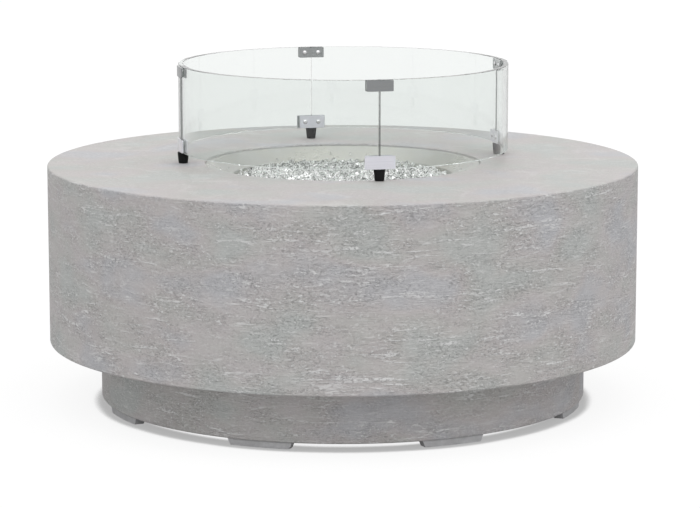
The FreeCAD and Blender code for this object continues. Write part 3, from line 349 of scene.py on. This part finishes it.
def corrugated(name, colour, roughness, rings_per_metre):
    """A thin-walled tube with close rings along its run, with painted shade in the valleys between them."""
    shade = Shade(name)
    values = {"Vector": shade.scaled(rings_per_metre), "Scale": 1.0, "Distortion": 0.4, "Detail": 1.0}
    wave = shade.add("ShaderNodeTexWave", values, wave_type="BANDS", bands_direction="DIAGONAL")
    rings = wave.outputs["Fac"]
    # Painted shade: the colour darkens where the bump sinks between the rings.
    tint = shade.ramp(rings, [(0.15, dimmed(colour, 0.55)), (0.65, colour)])
    normal = shade.bump(rings, 0.0006)
    rough = shade.spread(rings, 0.0, 1.0, roughness * 1.2, roughness * 0.8)
    return shade.surface(Base_Color=tint, Roughness=rough, Normal=normal, Metallic=1.0)


# Plastic, rubber and ceramic

def moulded(name, colour, roughness, grain=900.0, relief=0.00006, gloss=0.5):
    """A moulded surface: fine grain, with a little dust and wear."""
    shade = Shade(name)
    fine = shade.noise(shade.scaled(grain), 3.0, 0.6)
    dust = shade.noise(shade.scaled(55.0, 55.0, 70.0), 5.0, 0.65)
    dusty = tuple(min(c * 1.25 + 0.006, 1.0) for c in colour)
    tint = shade.ramp(dust, [(0.38, colour), (0.72, dusty)])
    tint = shade.blend(shade.spread(fine, 0.4, 0.7, 0.0, 0.25), tint, dimmed(colour, 0.8))
    rough = shade.spread(dust, 0.3, 0.7, roughness * 0.85, roughness * 1.15)
    normal = shade.bump(fine, relief)
    return shade.surface(Base_Color=tint, Roughness=rough, Normal=normal, Specular_IOR_Level=gloss)


# Glass

def clear_body(shade, colour, roughness, ripple, ripple_scale, ior):
    """Clear glass with a slight ripple and a faint smear."""
    wave = shade.noise(shade.scaled(ripple_scale), 2.0, 0.4)
    smear = shade.noise(shade.scaled(16.0), 4.0, 0.6)
    tint = shade.ramp(smear, [(0.30, dimmed(colour, 0.985)), (0.70, colour)])
    rough = shade.spread(smear, 0.45, 0.75, roughness * 0.5, roughness * 1.5)
    normal = shade.bump(wave, ripple, 0.5)
    return shade.principled(Base_Color=tint, Roughness=rough, Normal=normal, IOR=ior,
                            Transmission_Weight=1.0)


def lit_through(shade, body, loss):
    """The material of glass that lamps shine through: shadow rays pass it with a little loss."""
    through = shade.add("ShaderNodeBsdfTransparent", {"Color": (*loss, 1.0)})
    shadow = shade.add("ShaderNodeLightPath").outputs["Is Shadow Ray"]
    return shade.finish(shade.mixed(shadow, body, through))


def crushed_glass(name):
    shade = Shade(name)
    body = clear_body(shade, (0.996, 1.0, 0.996), 0.015, ripple=0.0004, ripple_scale=160.0, ior=1.5)
    return lit_through(shade, body, (0.97, 0.98, 0.975))


def pane_glass(name):
    """Curved panes: clear faces, end faces painted near black as painted shade at all joints but the back
    one, and ground lower edges.
    """
    shade = Shade(name)
    glass = clear_body(shade, (0.890, 0.911, 0.900), 0.003, ripple=0.00002, ripple_scale=9.0, ior=1.40)
    normal = shade.add("ShaderNodeNewGeometry").outputs["Normal"]
    arm = shade.vector_calc("SUBTRACT", shade.place, guard_middle())
    round_guard = shade.vector_calc("NORMALIZE", shade.vector_calc("CROSS_PRODUCT", arm, (0.0, 0.0, 1.0)))
    facing = shade.calc("ABSOLUTE", shade.vector_calc("DOT_PRODUCT", round_guard, normal))
    # Painted shade: end faces at the joints get a near-black surface, and the back joint is left clear.
    end = shade.spread(facing, 0.80, 0.92)
    end = shade.times(end, shade.spread(shade.part(shade.place, "Y"), *BACK_JOINT_Y, 1.0, 0.0))
    level = shade.calc("ABSOLUTE", shade.part(normal, "Z"))
    low = shade.spread(shade.part(shade.place, "Z"), *LOWER_EDGE_Z, 1.0, 0.0)
    edge = shade.times(shade.spread(level, 0.60, 0.80), low)
    grit = shade.noise(shade.scaled(420.0), 2.0, 0.6)
    ground = shade.ramp(grit, [(0.35, (0.66, 0.71, 0.69)), (0.65, (0.82, 0.86, 0.84))])
    pale = shade.principled(Base_Color=ground, Roughness=0.5)
    # The near-black colour of the painted shade at the joints.
    deep = shade.ramp(grit, [(0.35, (0.030, 0.046, 0.040)), (0.65, (0.060, 0.082, 0.074))])
    dark = shade.principled(Base_Color=deep, Roughness=0.25)
    return lit_through(shade, shade.mixed(edge, shade.mixed(end, glass, dark), pale), (0.95, 0.965, 0.958))


def packed_glass(name):
    """The deeper layer of crushed glass, seen only between the loose fragments."""
    shade = Shade(name)
    facets = shade.cells(shade.scaled(110.0))
    small = shade.cells(shade.scaled(260.0))
    tones = [(0.05, (0.98, 0.99, 0.97)), (0.40, (0.94, 0.96, 0.94)), (0.80, (0.84, 0.87, 0.85))]
    tint = shade.ramp(facets, tones)
    tint = shade.tinted(tint, (0.90, 0.94, 0.92), shade.spread(small, 0.1, 0.6, 0.0, 0.4))
    normal = shade.bump(facets, 0.003)
    rough = shade.spread(small, 0.1, 0.7, 0.08, 0.35)
    return shade.surface(Base_Color=tint, Roughness=rough, Normal=normal, IOR=1.5, Specular_IOR_Level=0.8)


# World and floor

def seen(tree):
    """1 for what the camera sees, mirrored or through glass too, and 0 for light that lands on a surface."""
    rays = tree.nodes.new("ShaderNodeLightPath")
    result = rays.outputs["Is Camera Ray"]
    for kind in ("Is Glossy Ray", "Is Transmission Ray"):
        larger = tree.nodes.new("ShaderNodeMath")
        larger.operation = "MAXIMUM"
        tree.links.new(result, larger.inputs[0])
        tree.links.new(rays.outputs[kind], larger.inputs[1])
        result = larger.outputs["Value"]
    return result


def set_world(light, background):
    """Even light on the object, with another strength for the background that is seen."""
    world = bpy.data.worlds.new("studio")
    bpy.context.scene.world = world
    world.use_nodes = True
    tree = world.node_tree
    tree.nodes.clear()
    output = tree.nodes.new("ShaderNodeOutputWorld")
    mix = tree.nodes.new("ShaderNodeMixShader")
    tree.links.new(seen(tree), mix.inputs["Fac"])
    for place, strength in ((1, light), (2, background)):
        white = tree.nodes.new("ShaderNodeBackground")
        white.inputs["Color"].default_value = (1.0, 1.0, 1.0, 1.0)
        white.inputs["Strength"].default_value = strength
        tree.links.new(white.outputs[0], mix.inputs[place])
    tree.links.new(mix.outputs[0], output.inputs["Surface"])


def floor_material():
    """White where seen, with a painted contact shadow near the object; plain grey for light it sends back.
    """
    shade = Shade("studio_floor")
    grey = shade.add("ShaderNodeBsdfDiffuse", {"Color": (0.52, 0.52, 0.52, 1.0)})
    shadowed = shade.add("ShaderNodeBsdfDiffuse", {"Color": (0.16, 0.16, 0.16, 1.0)})
    # Painted contact shadow: ambient occlusion near the object dims the seen floor's glow.
    near = shade.add("ShaderNodeAmbientOcclusion", {"Distance": CONTACT_REACH}, samples=24).outputs["AO"]
    painted_contact_shadow = shade.spread(near, 0.62, 0.84, 0.41, 0.87)
    rays = shade.add("ShaderNodeLightPath").outputs
    unmirrored = shade.larger(rays["Is Camera Ray"], rays["Is Transmission Ray"])
    strength = shade.times(painted_contact_shadow, shade.spread(unmirrored, 0.0, 1.0, 0.50, 1.0))
    glow = shade.add("ShaderNodeEmission", {"Strength": strength})
    shown = shade.add("ShaderNodeAddShader", {0: shadowed.outputs[0], 1: glow.outputs[0]})
    return shade.finish(shade.mixed(seen(shade.tree), grey, shown))


def add_floor():
    mesh = bpy.data.meshes.new("studio_floor")
    corners = [(x * FLOOR_REACH, y * FLOOR_REACH, 0.0) for x, y in ((-1, -1), (1, -1), (1, 1), (-1, 1))]
    mesh.from_pydata(corners, [], [(0, 1, 2, 3)])
    mesh.materials.append(floor_material())
    add_object("studio_floor", mesh)


set_world(light=0.56, background=1.0)
add_floor()


# The finish of each material slot

STEEL = (0.66, 0.67, 0.66)
BRASS = (0.72, 0.52, 0.24)
BLACK = (0.030, 0.030, 0.031)

materials = {
    "drum_stone": cast_stone("drum_cast_stone", 0.590, 0.0011),
    "plinth_stone": cast_stone("plinth_cast_stone", 0.620, 0.0008),
    "foot_pads": moulded("foot_pad_grey", (0.56, 0.56, 0.57), 0.6, 500.0),
    "bracket_steel": plated("zinc_bracket", (0.62, 0.63, 0.64), 0.38),
    "bolt_steel": plated("zinc_bolt", (0.66, 0.66, 0.64), 0.32),
    "pan_steel": spun("pan_stainless", (0.462, 0.468, 0.448), 0.30),
    "burner_steel": brushed("burner_stainless", (0.60, 0.58, 0.54), 0.34, (400.0, 400.0, 40.0)),
    "brass": plated("plain_brass", BRASS, 0.28),
    "fire_glass": crushed_glass("crushed_clear_glass"),
    "pilot_steel": brushed("pilot_stainless", (0.58, 0.55, 0.50), 0.34, (500.0, 500.0, 60.0)),
    "electrode_ceramic": moulded("white_ceramic", (0.84, 0.82, 0.77), 0.35, 700.0, 0.00003),
    "sensor_metal": brushed("heat_tinted_metal", (0.52, 0.44, 0.34), 0.3, (500.0, 500.0, 60.0)),
    "screw_steel": plated("stainless_screw", (0.70, 0.70, 0.69), 0.24),
    "igniter_wire": moulded("silicone_sleeve", (0.36, 0.06, 0.05), 0.5, 700.0),
    "sensor_lead": brushed("copper_lead", (0.72, 0.36, 0.22), 0.32, (60.0, 60.0, 800.0)),
    "tray_steel": brushed("tray_stainless", STEEL, 0.32, (14.0, 900.0, 900.0)),
    "valve_metal": plated("cast_valve_body", (0.55, 0.55, 0.54), 0.46),
    "bezel_chrome": brushed("bezel_chrome", (0.80, 0.80, 0.81), 0.10, (40.0, 40.0, 40.0), 0.00001),
    "igniter_plastic": moulded("igniter_black", (0.035, 0.035, 0.036), 0.42),
    "igniter_nut": moulded("igniter_nut_black", (0.045, 0.045, 0.045), 0.5),
    "battery_can": brushed("battery_can", (0.50, 0.50, 0.52), 0.3, (30.0, 700.0, 30.0)),
    "flex_steel": corrugated("corrugated_stainless", STEEL, 0.28, 900.0),
    "hose_rubber": moulded("hose_black_rubber", BLACK, 0.6, 500.0, 0.0001),
    "knob_plastic": moulded("knob_black", BLACK, 0.40, 1200.0),
    "stem_steel": brushed("stem_steel", (0.62, 0.62, 0.61), 0.28, (700.0, 60.0, 700.0)),
    "igniter_button": moulded("button_black", BLACK, 0.22, 1200.0, 0.00002),
    # The light lower and dark upper colours are painted reflections on one steel.
    "clip_steel": clip_painted_reflections("clip_steel_painted_reflections", (0.86, 0.86, 0.93), (0.31, 0.32, 0.325), 0.34),
    "clip_screw_steel": plated("clip_screw_steel", (0.74, 0.74, 0.75), 0.2),
    "spacer_rubber": moulded("spacer_rubber", (0.035, 0.036, 0.036), 0.7),
    "pad_rubber": moulded("pad_rubber", (0.60, 0.62, 0.62), 0.5),
    "foot_rubber": moulded("foot_black_rubber", (0.006, 0.0065, 0.0065), 0.75, 800.0, gloss=0.18),
    "guard_glass": pane_glass("guard_tempered_glass"),
}

slot_of = {row["node"]: row["material_slot"] for row in frame["record"]["subparts"]}
for node, obj in frame["nodes"].items():
    for slot in obj.material_slots:
        slot.material = materials[slot_of[node]]


# Crushed glass in the pan

FRAGMENT_KINDS = 48
FULL_TURN = 6.28
JITTER = 0.42
ROW_STEP = 0.87
MOST_SUNK = 0.0035
PACKED_DROP = 0.009
PACKED_LUMPS = (-0.0028, 0.0022)
PACKED_REACH = BOWL_RADIUS - 0.0012
PACKED_LOWEST = BED_FLOOR + 0.001
PACKED_RINGS = 46
PACKED_SECTORS = 150
RESTING_SHARE = 0.30
SLOPE_CRUMBS = [(0.2129, -0.0290, 0.009), (-0.2207, -0.0380, 0.007)]
STONE_CRUMBS = [(0.0010, -0.2540, 0.0035), (0.0045, -0.2562, 0.0026), (0.0080, -0.2548, 0.0030)]
MORE_CRUMBS = 9
CRUMB_SIZES = (0.005, 0.009)
CRUMB_BAND = (BOWL_RADIUS + 0.004, BOWL_RADIUS + 0.016)

chance = random.Random(41)


def bed_height(x, y):
    """The surface of the glass bed, gently heaped and uneven."""
    share = min(math.hypot(x, y) / BOWL_RADIUS, 1.0)
    swell = 0.0016 * math.sin(41.0 * x + 1.3) * math.cos(37.0 * y - 0.4)
    ripple = 0.0010 * math.sin(97.0 * x - 63.0 * y)
    return BED_EDGE + BED_CROWN * (1.0 - share * share) + swell + ripple


def add_glass(name, points, faces, material):
    """A piece of fire glass that stays with the table."""
    mesh = bpy.data.meshes.new(name)
    mesh.from_pydata(points, [], faces)
    mesh.materials.append(material)
    mesh.update()
    piece = add_object(name, mesh)
    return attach(piece, "table")


def fragment():
    """One sharp-edged fragment about 1 across: the hull of a few random points."""
    shape = bmesh.new()
    stretch = Vector((1.0, chance.uniform(0.62, 0.95), chance.uniform(0.42, 0.75)))
    for _ in range(chance.randint(8, 12)):
        point = Vector((chance.gauss(0, 1), chance.gauss(0, 1), chance.gauss(0, 1))).normalized()
        point *= chance.uniform(0.82, 1.0) * 0.5
        shape.verts.new(Vector(p * s for p, s in zip(point, stretch)))
    bmesh.ops.convex_hull(shape, input=shape.verts)
    loose = [v for v in shape.verts if not v.link_faces]
    bmesh.ops.delete(shape, geom=loose, context="VERTS")
    shape.verts.index_update()
    points = [v.co.copy() for v in shape.verts]
    faces = [tuple(v.index for v in f.verts) for f in shape.faces]
    shape.free()
    return points, faces


def scatter(name, spots, material):
    """Fragments of glass at (x, y, z, size), as one piece."""
    kinds = [fragment() for _ in range(FRAGMENT_KINDS)]
    points, faces = [], []
    for x, y, z, size in spots:
        shape, hull = chance.choice(kinds)
        turn = Euler([chance.uniform(0, FULL_TURN) for _ in range(3)]).to_matrix()
        start = len(points)
        points += [turn @ (p * size) + Vector((x, y, z)) for p in shape]
        faces += [tuple(start + i for i in f) for f in hull]
    return add_glass(name, points, faces, material)


def spots_in_bowl(spacing, drop, low, high, reach):
    """Uneven rows of (x, y, z, size), with each z under the bed's surface and sizes from low to high."""
    spots = []
    steps = int(reach / spacing) + 1
    for row in range(-steps, steps + 1):
        for column in range(-steps, steps + 1):
            x = (column + 0.5 * (row % 2) + chance.uniform(-JITTER, JITTER)) * spacing
            y = (row * ROW_STEP + chance.uniform(-JITTER, JITTER)) * spacing
            if math.hypot(x, y) < reach:
                size = chance.uniform(low, high)
                spots.append((x, y, bed_height(x, y) - drop - chance.uniform(0.0, MOST_SUNK), size))
    return spots


def packed_ring(ring):
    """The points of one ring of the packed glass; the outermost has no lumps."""
    radius = PACKED_REACH * ring / PACKED_RINGS
    points = []
    for sector in range(PACKED_SECTORS):
        angle = math.tau * (sector + 0.5 * (ring % 2)) / PACKED_SECTORS
        x, y = radius * math.cos(angle), radius * math.sin(angle)
        lump = chance.uniform(*PACKED_LUMPS) if ring < PACKED_RINGS else 0.0
        points.append((x, y, max(bed_height(x, y) - PACKED_DROP + lump, PACKED_LOWEST)))
    return points


def packed_bed(name, material):
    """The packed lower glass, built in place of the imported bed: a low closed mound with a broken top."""
    rings = [packed_ring(ring) for ring in range(1, PACKED_RINGS + 1)]
    rings.append([(x, y, BED_FLOOR) for x, y, _ in rings[-1]])
    points = [(0.0, 0.0, bed_height(0.0, 0.0) - PACKED_DROP)]
    for ring in rings:
        points += ring
    points.append((0.0, 0.0, BED_FLOOR))
    starts = [1 + index * PACKED_SECTORS for index in range(len(rings))]
    centre = len(points) - 1
    steps = [(sector, (sector + 1) % PACKED_SECTORS) for sector in range(PACKED_SECTORS)]
    faces = [(0, starts[0] + here, starts[0] + after) for here, after in steps]
    for inner, outer in zip(starts, starts[1:]):
        faces += [(inner + here, outer + here, outer + after, inner + after) for here, after in steps]
    faces += [(starts[-1] + after, starts[-1] + here, centre) for here, after in steps]
    return add_glass(name, points, faces, material)


def crumbs():
    """Loose fragments (x, y, z, size) on the pan's slope, and three on the stone in front of it."""
    steepness = (FLANGE_TOP - BED_EDGE) / (SLOPE_RADIUS - BOWL_RADIUS)
    on_slope = list(SLOPE_CRUMBS)
    for _ in range(MORE_CRUMBS):
        angle = chance.uniform(0, math.tau)
        radius = chance.uniform(*CRUMB_BAND)
        on_slope.append((radius * math.cos(angle), radius * math.sin(angle), chance.uniform(*CRUMB_SIZES)))
    spots = []
    for x, y, size in on_slope:
        slope_height = BED_EDGE + (math.hypot(x, y) - BOWL_RADIUS) * steepness
        spots.append((x, y, slope_height + size * RESTING_SHARE, size))
    spots += [(x, y, TABLE_TOP + size * RESTING_SHARE, size) for x, y, size in STONE_CRUMBS]
    return spots


base = packed_bed("fire_glass_packed", packed_glass("packed_glass"))
lower = spots_in_bowl(spacing=0.0120, drop=0.0070, low=0.013, high=0.019, reach=BOWL_RADIUS - 0.010)
upper = spots_in_bowl(spacing=0.0145, drop=0.0000, low=0.013, high=0.022, reach=BOWL_RADIUS - 0.012)
chips = scatter("fire_glass_fragments", lower + upper, materials["fire_glass"])
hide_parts("fire_glass_bed")
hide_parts("fire_glass_bed")
scatter("fire_glass_crumbs", crumbs(), materials["fire_glass"])
